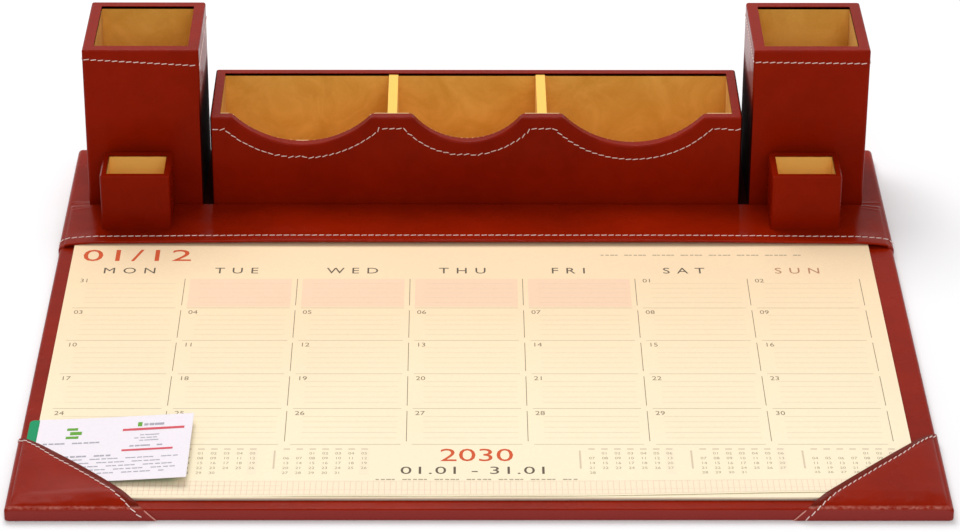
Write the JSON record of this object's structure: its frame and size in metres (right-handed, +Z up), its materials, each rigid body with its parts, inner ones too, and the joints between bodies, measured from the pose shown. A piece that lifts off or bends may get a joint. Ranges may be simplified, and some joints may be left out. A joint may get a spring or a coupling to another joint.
{
  "type": "desk blotter and organizer set",
  "caption": "Leather-covered desk blotter with a planner pad under a flap and corner pockets, and pen cups, a scalloped tray and clip cups along its back.",
  "frame": {"origin": "centre of the underside, at desk level, in the middle of the base's width and depth", "axes": "+X to the user's right along the long side, +Y away from the user towards the cups, +Z up"},
  "size_m": [0.508, 0.4346, 0.113],
  "materials": {
    "red_brown_leather": "glossy, waxed, red brown",
    "tan_suede": "napped, matt",
    "underside_felt": "matt",
    "base_fibreboard": "raw fibreboard",
    "box_board": "raw fibreboard",
    "flap_backing_card": "matt",
    "planner_greyboard": "matt",
    "cream_paper": "matt, printed",
    "gum": "soft",
    "white_card": "satin",
    "green_card": "satin"
  },
  "bodies": {
    "desk_set": {"base_board": "base_fibreboard", "base_cover": "red_brown_leather", "base_lining": "underside_felt", "clip_cup_left_back_panel": "box_board", "clip_cup_left_cover": "red_brown_leather", "clip_cup_left_floor_panel": "box_board", "clip_cup_left_front_panel": "box_board", "clip_cup_left_left_panel": "box_board", "clip_cup_left_lining": "tan_suede", "clip_cup_left_right_panel": "box_board", "clip_cup_right_back_panel": "box_board", "clip_cup_right_cover": "red_brown_leather", "clip_cup_right_floor_panel": "box_board", "clip_cup_right_front_panel": "box_board", "clip_cup_right_left_panel": "box_board", "clip_cup_right_lining": "tan_suede", "clip_cup_right_right_panel": "box_board", "corner_pocket_left": "red_brown_leather", "corner_pocket_right": "red_brown_leather", "flap_backing": "flap_backing_card", "flap_cover": "red_brown_leather", "pen_cup_left_back_panel": "box_board", "pen_cup_left_cover": "red_brown_leather", "pen_cup_left_floor_panel": "box_board", "pen_cup_left_front_panel": "box_board", "pen_cup_left_left_panel": "box_board", "pen_cup_left_lining": "tan_suede", "pen_cup_left_right_panel": "box_board", "pen_cup_right_back_panel": "box_board", "pen_cup_right_cover": "red_brown_leather", "pen_cup_right_floor_panel": "box_board", "pen_cup_right_front_panel": "box_board", "pen_cup_right_left_panel": "box_board", "pen_cup_right_lining": "tan_suede", "pen_cup_right_right_panel": "box_board", "tray_back_panel": "box_board", "tray_cover": "red_brown_leather", "tray_divider_left_board": "box_board", "tray_divider_left_suede": "tan_suede", "tray_divider_right_board": "box_board", "tray_divider_right_suede": "tan_suede", "tray_floor_panel": "box_board", "tray_front_panel": "box_board", "tray_left_panel": "box_board", "tray_lining": "tan_suede", "tray_right_panel": "box_board"},
    "planner": {"planner_backing": "planner_greyboard", "planner_gum_edge": "gum", "planner_sheets": "cream_paper", "planner_top_sheet": "cream_paper"},
    "cards": {"note_card": "white_card", "back_card": "green_card"}
  },
  "joints": [
    {"name": "planner_slide", "type": "slide", "parent": "desk_set", "child": "planner", "axis": [0, 1, 0], "range_m": [-0.0025, 0.014]},
    {"name": "card_slide", "type": "slide", "parent": "desk_set", "child": "cards", "axis": [1, 0, 0], "range_m": [0, 0.06]}
  ]
}
